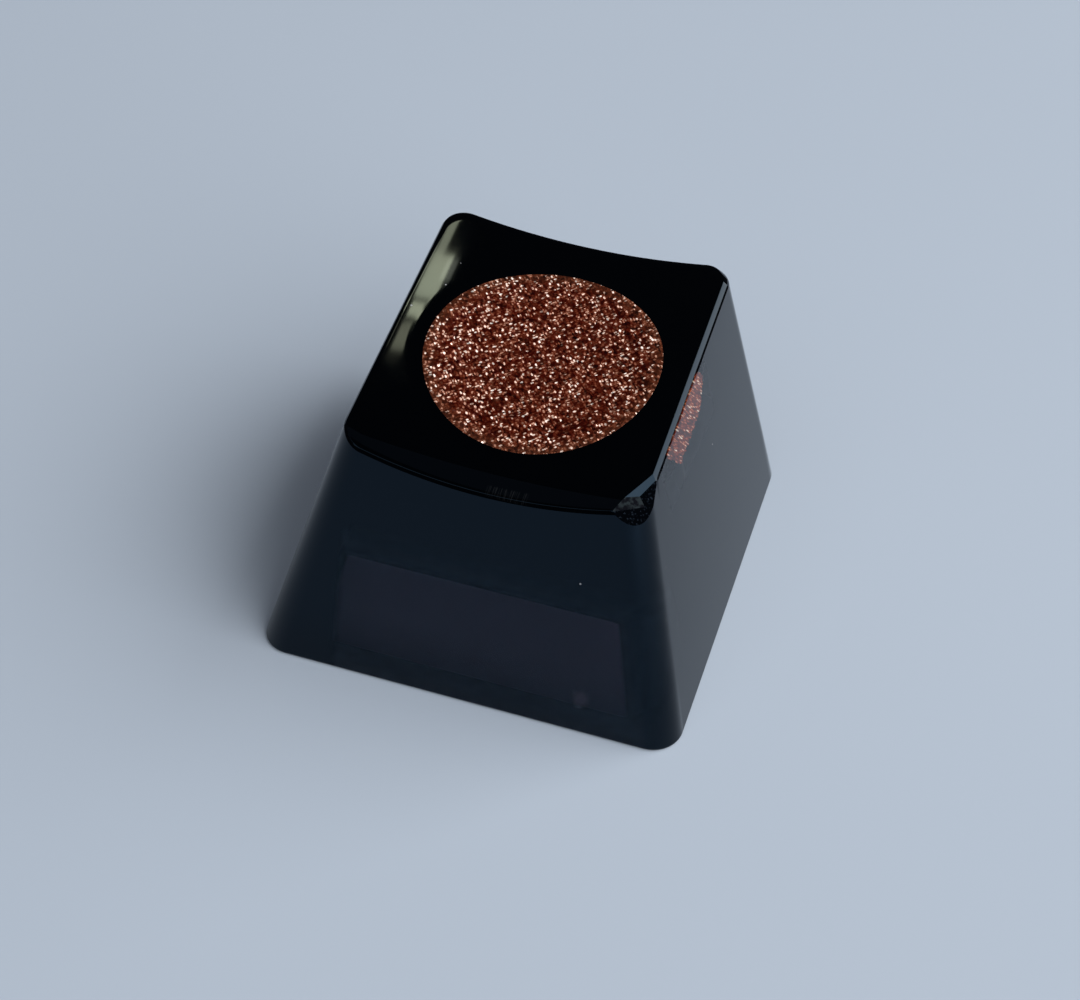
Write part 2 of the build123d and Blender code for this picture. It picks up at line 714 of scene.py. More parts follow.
@dataclass(frozen=True)
class KnockedResin:
    """Resin laid open by a knock: dark, dull and grainy."""

    name: str = "knocked_resin"
    light: Colour = (0.014, 0.020, 0.030)
    dark: Colour = (0.0008, 0.0012, 0.0020)
    grain: Grain = Grain(0.09, 3.0)
    grain_levels: Span = (0.55, 0.75)
    grain_height: float = 0.02
    grain_strength: float = 0.8
    roughness: float = 0.5

    def material(self) -> bpy.types.Material:
        """Builds the material.

        Returns:
            The material, with light crumbs on a dark break.
        """
        material, bench = new_bench(self.name)
        crumbs = bench.noise(self.grain)
        broken = bench.principled(
            {
                "Base Color": bench.mix(crumbs.step(self.grain_levels), self.dark, self.light),
                "Roughness": self.roughness,
                "Specular IOR Level": 0.0,
                "Normal": bench.bump(crumbs, self.grain_height, self.grain_strength),
            }
        )
        bench.end(broken)
        return material


BodyFinish = PolishedResin | CastResin | KnockedResin


@dataclass(frozen=True)
class CopperGlitter:
    """Polished glass full of fine copper flecks that lie at all angles."""

    name: str = "copper_glitter_glass"
    form: CapForm = CapForm()

    # Flecks, each with a brightness that drops towards its border, and finer grit; the dark to copper tones
    # are the flecks' own colour, the brightest cream-white tones are painted sparkle
    fleck_size: float = 0.108
    fleck_stretch: float = 1.7
    fleck_turns: Pair = (38.0, -47.0)
    fleck_middle: Span = (0.30, 0.62)
    fleck_border: float = 0.35
    fleck_share: float = 0.76
    grit_size: float = 0.08
    grit_share: float = 0.18
    tones: Stops = (
        (0.00, (0.020, 0.000, 0.000)),
        (0.22, (0.046, 0.002, 0.000)),
        (0.45, (0.110, 0.019, 0.007)),
        (0.60, (0.210, 0.066, 0.036)),
        (0.71, (0.460, 0.220, 0.150)),
        (0.79, (0.940, 0.680, 0.560)),
        (0.88, (1.000, 0.960, 0.920)),
    )

    # Golden border, and a dark colour on the plug's sides and underside, set by which way the surface faces
    gold: Colour = (0.160, 0.095, 0.045)
    gold_share: float = 0.13
    gold_ring: Span = (4.10, 4.85)
    side_dark: Colour = (0.004, 0.003, 0.003)
    side_dark_lean: Span = (0.5, 0.6)

    # Gloss of the flecks and of the glass over them
    fleck_tilt: float = 0.9
    metal_share: float = 0.55
    metal_picked: Span = (0.55, 0.60)
    roughness: float = 0.30
    shine: float = 0.05
    coat: float = 0.4
    coat_roughness: float = 0.03
    coat_refraction: float = 1.5

    def _border(self, bench: NodeBench) -> Socket:
        """Mask of the plug's border.

        Args:
            bench: Bench of the material.

        Returns:
            1 at the border, 0 nearer the axis.
        """
        centre = in_metres(self.form.point(*self.form.inlay_shift, 0.0))
        place = bench.laid(Location=centre, Rotation=(self.form.top_tilt, 0.0, 0.0))
        flat = bench.vector("MULTIPLY", place, (1.0, 1.0, 0.0))
        return bench.measure("DISTANCE", flat, ORIGIN).step(self.gold_ring, MM)

    def _middle(self, bench: NodeBench, flecks: bpy.types.Node) -> Socket:
        """Mask of the flecks' middles."""
        return 1.0 - bench.read(flecks, "Distance").step(self.fleck_middle)

    def _tone(self, bench: NodeBench, flecks: bpy.types.Node) -> Socket:
        """Brightness of the flecks, each with its own, which drops towards its border."""
        tone, _, _ = bench.parts(bench.read(flecks, "Color"))
        return tone * (self.fleck_border + (1.0 - self.fleck_border) * self._middle(bench, flecks))

    def _facing(self, bench: NodeBench, flecks: bpy.types.Node) -> Socket:
        """Directions that the flecks face.

        Args:
            bench: Bench of the material.
            flecks: Cells of the flecks.

        Returns:
            The normal, with a tilt for each fleck.
        """
        # A cell's colour has parts from 0 to 1, so without its middle value it leans to any side
        lean = bench.vector("SUBTRACT", bench.read(flecks, "Color"), (0.5, 0.5, 0.5))
        lean = bench.vector("MULTIPLY", lean, (self.fleck_tilt,) * 3)
        return bench.vector("NORMALIZE", bench.vector("ADD", bench.normal(), lean), ORIGIN)

    def material(self) -> bpy.types.Material:
        """Builds the material.

        Returns:
            The material, with a tone and a slope for each fleck under a smooth glassy coat.
        """
        material, bench = new_bench(self.name)
        size, stretch = self.fleck_size, self.fleck_stretch
        flecks, others = (bench.cells(size, turn, stretch) for turn in self.fleck_turns)
        bright = bench.math("MAXIMUM", self._tone(bench, flecks), self._tone(bench, others))
        fine, _, _ = bench.parts(bench.read(bench.cells(self.grit_size), "Color"))
        # Painted sparkle: the ramp's cream-white top makes some fleck middles bright under any light
        colour = bench.ramp(bright * self.fleck_share + fine * self.grit_share, self.tones)
        colour = bench.mix(self._border(bench) * self.gold_share, colour, self.gold)
        _, _, upward = bench.axes(bench.normal())
        _, metal, _ = bench.parts(bench.read(flecks, "Color"))
        metal = metal.step(self.metal_picked) * self._middle(bench, flecks)
        glass = bench.principled(
            {
                # Surfaces of the plug that do not face up take the dark colour
                "Base Color": bench.mix(upward.step(self.side_dark_lean), self.side_dark, colour),
                "Metallic": metal * self.metal_share,
                "Roughness": self.roughness,
                "Specular IOR Level": self.shine,
                "Coat Weight": self.coat,
                "Coat Roughness": self.coat_roughness,
                "Coat IOR": self.coat_refraction,
                "Normal": self._facing(bench, flecks),
            }
        )
        bench.end(glass)
        return material


@dataclass(frozen=True)
class SoftLine:
    """A soft line that bounds the flecks, in millimetres from the top's edge.

    The line runs through a place along the edge and below it, and the turn leads to its bare side.
    """

    along: float
    below: float
    turn: float
    bare: float = 0.12
    full: float = -0.16

    def mask(self, bench: NodeBench, place: Socket) -> Socket:
        """Mask of the flecks' side of the line.

        Args:
            bench: Bench of the material.
            place: Place along the edge and above it.

        Returns:
            1 on the flecks' side, 0 on the bare side.
        """
        facing = (math.cos(math.radians(self.turn)), math.sin(math.radians(self.turn)), 0.0)
        start = self.along * facing[0] - self.below * facing[1]
        return bench.measure("DOT_PRODUCT", place, facing).step((start + self.bare, start + self.full))


@dataclass(frozen=True)
class DriftedFlecks:
    """Copper flecks in the resin, drawn out in streaks, which thin out at the border of their patch."""

    PLACE_MAP: ClassVar[str] = "place"
    STREAK_MAP: ClassVar[str] = "streaks"

    name: str = "drifted_flecks"

    # Flecks along the streaks, and the few larger ones that spark; the red-copper tones are the flecks' own
    # colour, the pale top tones and the sparks are painted sparkle
    fleck_scale: float = 1.0
    fleck_middle: Span = (0.22, 0.52)
    fleck_border: float = 0.35
    fleck_gain: float = 0.53
    spark_scale: float = 0.5
    spark_middle: Span = (0.14, 0.34)
    spark_picked: Span = (0.70, 0.90)
    tones: Stops = (
        (0.00, (0.060, 0.004, 0.000)),
        (0.20, (0.150, 0.014, 0.001)),
        (0.42, (0.350, 0.055, 0.010)),
        (0.68, (0.700, 0.210, 0.070)),
        (0.90, (1.000, 0.930, 0.740)),
    )
    thinning: float = 0.8
    roughness: float = 0.4

    # Place along the edge, place below it and turn of each line round the patch
    border: tuple[SoftLine, ...] = (
        SoftLine(-3.88, 0.08, 211.5),
        SoftLine(-1.30, 1.70, -90.0),
        SoftLine(1.09, 0.91, -50.0),
        SoftLine(1.06, 0.65, 5.0),
        SoftLine(0.12, 0.02, 66.6),
    )

    def _cells(self, bench: NodeBench, scale: float, middle: Span) -> tuple[Socket, Socket, Socket]:
        """Cells along the streaks.

        Args:
            bench: Bench of the material.
            scale: How many cells there are to a streak's unit.
            middle: Distances from a cell's centre at which its middle begins to fade and has faded.

        Returns:
            Two values that each cell has for its own, and the mask of the cells' middles.
        """
        inputs = {"Vector": bench.uv(self.STREAK_MAP), "Scale": scale}
        cells = bench.add("ShaderNodeTexVoronoi", {"voronoi_dimensions": "2D"}, inputs)
        first, second, _ = bench.parts(bench.read(cells, "Color"))
        return first, second, 1.0 - bench.read(cells, "Distance").step(middle)

    def material(self) -> bpy.types.Material:
        """Builds the material.

        Returns:
            The material, which shows only the flecks.
        """
        material, bench = new_bench(self.name)
        tone, thin, middle = self._cells(bench, self.fleck_scale, self.fleck_middle)
        pick, _, spark = self._cells(bench, self.spark_scale, self.spark_middle)
        fleck = tone * (self.fleck_border + self.fleck_gain * middle)
        # Painted sparkle: picked large cells take the ramp's pale top tones under any light
        level = bench.math("MAXIMUM", fleck, pick.step(self.spark_picked) * spark)
        place = bench.uv(self.PLACE_MAP)
        thick = reduce(mul, (line.mask(bench, place) for line in self.border))
        flecks = bench.principled(
            {
                "Base Color": bench.ramp(level, self.tones),
                "Roughness": self.roughness,
                "Alpha": bench.math("GREATER_THAN", thick, thin * self.thinning),
            }
        )
        bench.end(flecks)
        return material


@dataclass(frozen=True)
class PlainSheet:
    """Matt pale paper for the floor, faintly mottled."""

    name: str = "pale_sheet"
    colour: Colour = (0.46, 0.53, 0.63)
    mottle: float = 0.05
    mottle_shade: float = 0.8
    mottle_grain: Grain = Grain(40.0, 3.0)
    mottle_levels: Span = (0.3, 0.7)
    roughness: float = 0.9
    shine: float = 0.2

    def material(self) -> bpy.types.Material:
        """Builds the material.

        Returns:
            The material.
        """
        material, bench = new_bench(self.name)
        red, green, blue = (part * self.mottle_shade for part in self.colour)
        mottle = bench.noise(self.mottle_grain).step(self.mottle_levels) * self.mottle
        sheet = bench.principled(
            {
                "Base Color": bench.mix(mottle, self.colour, (red, green, blue)),
                "Roughness": self.roughness,
                "Specular IOR Level": self.shine,
            }
        )
        bench.end(sheet)
        return material


class LoopChain:
    """A skin that grows loop by loop, each extruded from the last and set in its place."""

    def __init__(self, stations: int) -> None:
        """Starts an empty skin.

        Args:
            stations: How many points each loop has.
        """
        self.mesh = bmesh.new()
        self.station = self.mesh.verts.layers.int.new("station")
        self.stations = stations
        self.finish = Finish.POLISHED
        self.loop: list[bmesh.types.BMVert] = []
        self.edges: list[bmesh.types.BMEdge] = []

    def start(self, place: Place) -> None:
        """Makes the first loop, closed by a flat face.

        Args:
            place: Gives the place of each station.
        """
        made = bmesh.ops.create_circle(self.mesh, cap_ends=True, radius=1.0, segments=self.stations)
        self.loop = made["verts"]
        for vert in self.loop:
            turn = math.atan2(vert.co.y, vert.co.x) / math.tau
            vert[self.station] = round(turn * self.stations) % self.stations
        self._settle(place)

    def grow(self, place: Place) -> list[bmesh.types.BMEdge]:
        """Extrudes the last loop and sets the new one in its place.

        Args:
            place: Gives the place of each station.

        Returns:
            Edges of the new loop.
        """
        made = bmesh.ops.extrude_edge_only(self.mesh, edges=self.edges)["geom"]
        self.loop = [part for part in made if isinstance(part, bmesh.types.BMVert)]
        self._coat(part for part in made if isinstance(part, bmesh.types.BMFace))
        self._settle(place)
        return list(self.edges)

    def close(self) -> None:
        """Closes the last loop by a flat face and turns all faces outwards."""
        self._coat(bmesh.ops.contextual_create(self.mesh, geom=self.edges)["faces"])
        bmesh.ops.recalc_face_normals(self.mesh, faces=self.mesh.faces)

    def _coat(self, faces: Iterable[bmesh.types.BMFace]) -> None:
        """Gives new faces the present finish."""
        for face in faces:
            face.material_index = self.finish.value

    def _settle(self, place: Place) -> None:
        """Moves the loop's points to their stations and notes its edges.

        Args:
            place: Gives the place of each station.
        """
        for vert in self.loop:
            vert.co = place(vert[self.station])
        held = set(self.loop)
        around = dict.fromkeys(edge for vert in self.loop for edge in vert.link_edges)
        self.edges = [edge for edge in around if held.issuperset(edge.verts)]


def round_edges(
    mesh: bmesh.types.BMesh, edges: Iterable[bmesh.types.BMEdge], size: float, steps: int
) -> None:
    """Rounds a loop of edges.

    Args:
        mesh: Mesh that the edges belong to.
        edges: The edges.
        size: How far the rounding reaches from the edge.
        steps: How many faces it has across.
    """
    bmesh.ops.bevel(
        mesh,
        geom=list(edges),
        offset=size,
        offset_type="OFFSET",
        segments=steps,
        profile=0.5,
        affect="EDGES",
        material=-1,
        clamp_overlap=True,
        loop_slide=True,
    )


def finish_mesh(
    mesh: bmesh.types.BMesh, name: str, sharp: Iterable[bmesh.types.BMEdge] = ()
) -> bpy.types.Object:
    """Turns a mesh made in millimetres into an object in metres.

    Args:
        mesh: The mesh, which is freed.
        name: Name of the piece.
        sharp: Edges that stay sharp whatever their angle.

    Returns:
        The object, at the origin.
    """
    bmesh.ops.recalc_face_normals(mesh, faces=mesh.faces)
    bmesh.ops.scale(mesh, vec=(MM, MM, MM), verts=mesh.verts)
    for face in mesh.faces:
        face.smooth = True
    for edge in mesh.edges:
        edge.smooth = edge.calc_face_angle(0.0) < CREASE
    for edge in sharp:
        edge.smooth = False
    return link_mesh(mesh, name)


def link_mesh(mesh: bmesh.types.BMesh, name: str) -> bpy.types.Object:
    """Puts a mesh into the scene.

    Args:
        mesh: The mesh, which is freed.
        name: Name of the object.

    Returns:
        The object, at the origin.
    """
    data = bpy.data.meshes.new(name)
    mesh.to_mesh(data)
    mesh.free()
    return link(bpy.data.objects.new(name, data))


def link(thing: bpy.types.Object) -> bpy.types.Object:
    """Links an object to the scene."""
    bpy.context.scene.collection.objects.link(thing)
    return thing


@dataclass(frozen=True)
class Outline:
    """Loops of a fixed number of stations, which run from the right side through the back."""

    half_side: int = 36
    corner_steps: int = 24
    cross_end_share: float = 0.125

    @property
    def quarter(self) -> int:
        """Stations in a quarter of a loop."""
        return 2 * self.half_side + self.corner_steps

    @property
    def count(self) -> int:
        """Stations in a whole loop."""
        return 4 * self.quarter

    def turn(self, station: int) -> float:
        """Angle of a station on a circle."""
        return math.tau * station / self.count

    def _turned(self, station: int, x: float, y: float) -> Pair:
        """Turns a point of the first quarter to the station's own quarter.

        Args:
            station: Number of the point.
            x: Distance to the right.
            y: Distance towards the back.

        Returns:
            The turned point.
        """
        for _ in range(station // self.quarter % 4):
            x, y = -y, x
        return x, y

    def _sides(self, station: int, first: float, second: float) -> Pair:
        """Two sizes, swapped in every other quarter."""
        return (second, first) if station // self.quarter % 2 else (first, second)

    def square(self, station: int, half_x: float, half_y: float, radius: float) -> Pair:
        """Point on a square with round corners.

        Args:
            station: Number of the point.
            half_x: Half the width.
            half_y: Half the depth.
            radius: Radius of the corners.

        Returns:
            The point.
        """
        own, other = self._sides(station, half_x, half_y)
        step = station % self.quarter
        if step <= self.half_side:
            x, y = own, (other - radius) * step / self.half_side
        elif step < self.half_side + self.corner_steps:
            turn = math.pi / 2 * (step - self.half_side) / self.corner_steps
            x, y = own - radius * (1.0 - math.cos(turn)), other - radius * (1.0 - math.sin(turn))
        else:
            x, y = (own - radius) * (self.quarter - step) / self.half_side, other
        return self._turned(station, x, y)

    def circle(self, station: int, radius: float) -> Pair:
        """Point on a circle."""
        return radius * math.cos(self.turn(station)), radius * math.sin(self.turn(station))

    def cross(self, station: int, half_length: float, half_x: float, half_y: float) -> Pair:
        """Point on a cross with square ends.

        Args:
            station: Number of the point.
            half_length: Half the length of each bar.
            half_x: Half the width of the bar that runs left and right.
            half_y: Half the width of the bar that runs front to back.

        Returns:
            The point.
        """
        own, other = self._sides(station, half_x, half_y)
        corners = (
            (half_length, 0.0),
            (half_length, own),
            (other, own),
            (other, half_length),
            (0.0, half_length),
        )
        end_steps = round(self.quarter * self.cross_end_share)
        side_steps = self.quarter // 2 - end_steps
        runs = zip(corners, corners[1:], (end_steps, side_steps, side_steps, end_steps))
        step = station % self.quarter
        for (x0, y0), (x1, y1), steps in runs:
            if step <= steps:
                share = step / steps
                return self._turned(station, x0 + (x1 - x0) * share, y0 + (y1 - y0) * share)
            step -= steps
        return self._turned(station, *corners[-1])


@dataclass(frozen=True)
class CornerCut:
    """A flat cut off the top's front right corner, by polishing or by a knock.

    Its lean from upright and its turn from the right are in degrees, the cut and its reach in millimetres.
    """

    lean: float
    turn: float
    cut: float
    finish: Finish
    reach: float = 2.2

    def shave(self, mesh: bmesh.types.BMesh, crest: Vector) -> list[bmesh.types.BMEdge]:
        """Cuts the corner off flat.

        Args:
            mesh: Mesh of the cap.
            crest: Point of the corner that the cut is measured from.

        Returns:
            Edges round the flat.
        """
        lean, turn = math.radians(self.lean), math.radians(self.turn)
        outward = math.sin(lean)
        facing = Vector((outward * math.cos(turn), -outward * math.sin(turn), math.cos(lean)))
        near = [vert for vert in mesh.verts if (vert.co - crest).length < self.reach]
        faces = dict.fromkeys(face for vert in near for face in vert.link_faces)
        edges = dict.fromkeys(edge for face in faces for edge in face.edges)
        verts = dict.fromkeys(vert for face in faces for vert in face.verts)
        made = bmesh.ops.bisect_plane(
            mesh,
            geom=[*verts, *edges, *faces],
            dist=CUT_MERGE,
            plane_co=crest - facing * self.cut,
            plane_no=facing,
            clear_outer=True,
        )
        rim = [part for part in made["geom_cut"] if isinstance(part, bmesh.types.BMEdge)]
        for face in bmesh.ops.contextual_create(mesh, geom=rim)["faces"]:
            face.material_index = self.finish.value
        return rim


@dataclass(frozen=True)
class EasedEdge:
    """Flats that ease the top's edge, in millimetres.

    The edge begins a width in from the corner and ends as many widths down the side as the drop says.
    The crest is the share of the way at which its two flats meet, and the bulge lifts them there.
    """

    width: float
    drop: float
    crest: float
    bulge: float

    def blend(self, other: "EasedEdge", share: float) -> "EasedEdge":
        """An edge between this one and another."""
        pairs = zip(astuple(self), astuple(other))
        return EasedEdge(*(first + (second - first) * share for first, second in pairs))


@dataclass(frozen=True)
class CapBody:
    """The tapered body: dish, rounded rim, sloping sides, hollow underside and stem, in millimetres."""

    name: str = "resin_body"
    form: CapForm = CapForm()
    outline: Outline = Outline()

    # Lean, turn, cut and finish of each flat on the corner
    corner_cuts: tuple[CornerCut, ...] = (
        CornerCut(32.0, 52.0, 0.430, Finish.POLISHED),
        CornerCut(35.5, 48.6, 0.436, Finish.KNOCKED),
        CornerCut(35.9, 53.2, 0.450, Finish.ROUGH),
        CornerCut(38.9, 53.6, 0.440, Finish.KNOCKED),
        CornerCut(50.0, 24.0, 0.150, Finish.KNOCKED),
    )

    # Rim, and the faces across a rounding
    rim_corner: float = 1.3
    rim_round: float = 0.15
    fine_steps: int = 2
    round_steps: int = 4

    # Eased edge of the top, which is broader along the right side
    crest_search: Span = (0.7, 1.1)
    crest_halvings: int = 40
    edge: EasedEdge = EasedEdge(width=0.055, drop=2.40, crest=0.50, bulge=0.0)
    right_edge: EasedEdge = EasedEdge(width=0.17, drop=1.60, crest=0.686, bulge=0.105)
    right_blend: Span = (0.55, 0.70)
    edge_round: float = 0.008

    # Hollow underside, with the stem and its cross socket
    wall: float = 1.9
    cavity_height: float = 4.1
    cavity_corner: float = 0.6
    cavity_round: float = 0.2
    stem_radius: float = 2.75
    stem_recess: float = 1.0
    stem_root: float = 0.3
    slot_half: float = 2.05
    slot_x: float = 0.65
    slot_y: float = 0.575
    slot_depth: float = 4.0

    # Pocket, the collar of resin round it, and the loops on the dish and the sides
    pocket_lap: float = 0.015
    collar_rise: float = 0.03
    collar_width: float = 0.8
    dish_rings: int = 30
    dish_band: float = 0.90
    side_shares: tuple[float, ...] = (0.92, 0.6, 0.25)

    def _rim(self, station: int) -> Vector:
        """Point of the rim's outline on the floor."""
        half = self.form.rim_half
        return Vector((*self.outline.square(station, half, half, self.rim_corner), 0.0))

    def _top(self, station: int, inset: float = 0.0) -> Vector:
        """Point of the top's outline in the leaning plane, or of one set in from it.

        Args:
            station: Number of the point.
            inset: How far the outline is set in.

        Returns:
            The point, in the leaning plane's own coordinates.
        """
        sizes = (self.form.top_width / 2, self.form.top_length / 2, self.form.top_corner)
        return Vector((*self.outline.square(station, *(size - inset for size in sizes)), 0.0))

    def _crest(self, station: int) -> Vector:
        """Point where the sloping side meets the dish.

        Args:
            station: Number of the point.

        Returns:
            The point, found by halving the range of shares of the way up that it lies in.
        """
        base, top = self._rim(station), self.form.point(*self._top(station))
        low, high = self.crest_search
        for _ in range(self.crest_halvings):
            middle = (low + high) / 2
            across, along, up = self.form.local(base.lerp(top, middle))
            if up > self.form.dish(across, along):
                high = middle
            else:
                low = middle
        return base.lerp(top, low)

    def _edge(self, station: int) -> EasedEdge:
        """Finds the eased edge at a station, which is broadest along the right side.

        Args:
            station: Number of the point.

        Returns:
            The edge.
        """
        start, end = self.right_blend
        rightward = (math.cos(self.outline.turn(station)) - start) / (end - start)
        return self.edge.blend(self.right_edge, min(1.0, max(0.0, rightward)))

    def _edge_top(self, station: int) -> Vector:
        """Point of the dish where the eased edge begins."""
        inward = self._top(station, self._edge(station).width) - self._top(station)
        return self.form.on_dish(*(self.form.local(self._crest(station)) + inward).xy)

    def _edge_foot(self, station: int) -> Vector:
        """Point of the side where the eased edge ends."""
        crest, edge = self._crest(station), self._edge(station)
        return crest + (self._rim(station) - crest).normalized() * edge.width * edge.drop

    def _edge_middle(self, station: int) -> Vector:
        """Point between the eased edge's upper flat and its lower one.

        Args:
            station: Number of the point.

        Returns:
            The point.
        """
        top, foot, edge = self._edge_top(station), self._edge_foot(station), self._edge(station)
        outward = self._crest(station) - (top + foot) / 2
        return top.lerp(foot, edge.crest) + outward * edge.bulge

    def _pocket_edge(self, station: int) -> Vector:
        """Point of the pocket's outline in the leaning plane, a little inside the plug's."""
        place = self.outline.circle(station, self.form.inlay_radius - self.pocket_lap)
        return Vector((*place, 0.0)) + Vector((*self.form.inlay_shift, 0.0))

    def _pocket_floor(self, station: int) -> Vector:
        """Point of the outline of the pocket's floor."""
        floor = -self.form.dish_depth - self.form.inlay_depth
        return self.form.point(*self._pocket_edge(station).xy, floor)

    def _dish(self, share: float, station: int) -> Vector:
        """Point of the dish, raised a little where the resin climbs to the harder plug.

        Args:
            share: Share of the way from the pocket to the eased edge.
            station: Number of the point.

        Returns:
            The point.
        """
        inner = self._pocket_edge(station)
        spot = inner.lerp(self.form.local(self._edge_top(station)), share)
        away = (spot.xy - inner.xy).length / self.collar_width
        return self.form.on_dish(*spot.xy, self.collar_rise * max(0.0, 1.0 - away) ** 2)

    def _side(self, share: float, station: int) -> Vector:
        """Point of the sides at a share of the way from the floor to the eased edge."""
        return self._rim(station).lerp(self._edge_foot(station), share)

    def _cavity(self, height: float, station: int) -> Vector:
        """Point of the hollow's walls.

        Args:
            height: Height above the floor.
            station: Number of the point.

        Returns:
            The point.
        """
        mouth_half = self.form.rim_half - self.wall
        side, front, back = (mouth_half - slope * height for slope in self.form.slopes)
        x, y = self.outline.square(station, side, (front + back) / 2, self.cavity_corner)
        return Vector((x, y + (back - front) / 2, height))

    def _stem(self, radius: float, height: float, station: int) -> Vector:
        """Point of a ring round the stem."""
        return Vector((*self.outline.circle(station, radius), height))

    def _socket(self, height: float, station: int) -> Vector:
        """Point of the cross socket's outline."""
        place = self.outline.cross(station, self.slot_half, self.slot_x, self.slot_y)
        return Vector((*place, height))

    def build(self) -> bpy.types.Object:
        """Builds the body as one closed skin, from the pocket's floor to the end of the socket.

        Returns:
            The piece, without a material.
        """
        skin = LoopChain(self.outline.count)
        skin.start(self._pocket_floor)
        for ring in range(self.dish_rings):
            skin.grow(partial(self._dish, self.dish_band * ring / (self.dish_rings - 1)))
        edge_top = skin.grow(self._edge_top)
        edge_middle = skin.grow(self._edge_middle)
        edge_foot = skin.grow(self._edge_foot)
        for share in self.side_shares:
            skin.grow(partial(self._side, share))
        foot = skin.grow(self._rim)
        skin.finish = Finish.AS_CAST
        mouth = skin.grow(partial(self._cavity, 0.0))
        ceiling = skin.grow(partial(self._cavity, self.cavity_height))
        skin.grow(partial(self._stem, self.stem_radius + self.stem_root, self.cavity_height))
        skin.grow(partial(self._stem, self.stem_radius, self.cavity_height - self.stem_root))
        stem_end = skin.grow(partial(self._stem, self.stem_radius, self.stem_recess))
        skin.grow(partial(self._socket, self.stem_recess))
        skin.grow(partial(self._socket, self.stem_recess + self.slot_depth))
        skin.close()
        round_edges(skin.mesh, edge_top, self.edge_round, self.fine_steps)
        round_edges(skin.mesh, foot, self.rim_round, self.round_steps)
        round_edges(skin.mesh, ceiling, self.cavity_round, self.round_steps)
        round_edges(skin.mesh, [*mouth, *stem_end], self.rim_round / 2, self.fine_steps)
        crest = self.form.corner_crest
        cut_edges = [edge for cut in self.corner_cuts for edge in cut.shave(skin.mesh, crest)]
        sharp = [edge for edge in [*cut_edges, *edge_middle, *edge_foot] if edge.is_valid]
        piece = finish_mesh(skin.mesh, self.name, sharp)
        even = piece.modifiers.new("even_shading", "WEIGHTED_NORMAL")
        even.keep_sharp = True
        return piece

    def dress(self, piece: bpy.types.Object, finishes: dict[Finish, BodyFinish]) -> None:
        """Gives the body its finishes and its place in the model.

        Args:
            piece: The body.
            finishes: A finish for each place in its list of materials.
        """
        for finish in Finish:
            piece.data.materials.append(finishes[finish].material())
        take_place(piece, Node.BODY)


@dataclass(frozen=True)
class GlitterInlay:
    """The round plug of copper glitter, ground flush with the dish, in millimetres."""

    name: str = "glitter_plug"
    form: CapForm = CapForm()
    outline: Outline = Outline(half_side=16, corner_steps=16)
    sunk: float = 0.02
    proud: float = 0.036
    edge_round: float = 0.012
    edge_steps: int = 2
    rings: int = 12

    def _spot(self, share: float, station: int) -> Pair:
        """Point of the leaning plane at a share of the plug's radius."""
        x, y = self.outline.circle(station, self.form.inlay_radius * share)
        return x + self.form.inlay_shift[0], y + self.form.inlay_shift[1]

    def _underside(self, station: int) -> Vector:
        """Point of the outline of the plug's flat underside, a little below the pocket's floor."""
        floor = -self.form.dish_depth - self.form.inlay_depth - self.sunk
        return self.form.point(*self._spot(1.0, station), floor)

    def _top(self, share: float, station: int) -> Vector:
        """Point of the plug's polished top at a share of its radius."""
        return self.form.on_dish(*self._spot(share, station), self.proud)

    def build(self) -> bpy.types.Object:
        """Builds the plug from its flat underside to the middle of its top.

        Returns:
            The piece, without a material.
        """
        skin = LoopChain(self.outline.count)
        skin.start(self._underside)
        edge = skin.grow(partial(self._top, 1.0))
        for ring in range(1, self.rings):
            skin.grow(partial(self._top, 1.0 - ring / self.rings))
        skin.close()
        round_edges(skin.mesh, edge, self.edge_round, self.edge_steps)
        return finish_mesh(skin.mesh, self.name)

    def dress(self, piece: bpy.types.Object, glitter: CopperGlitter) -> None:
        """Gives the plug its finish and its place in the model."""
        piece.data.materials.append(glitter.material())
        take_place(piece, Node.INLAY)


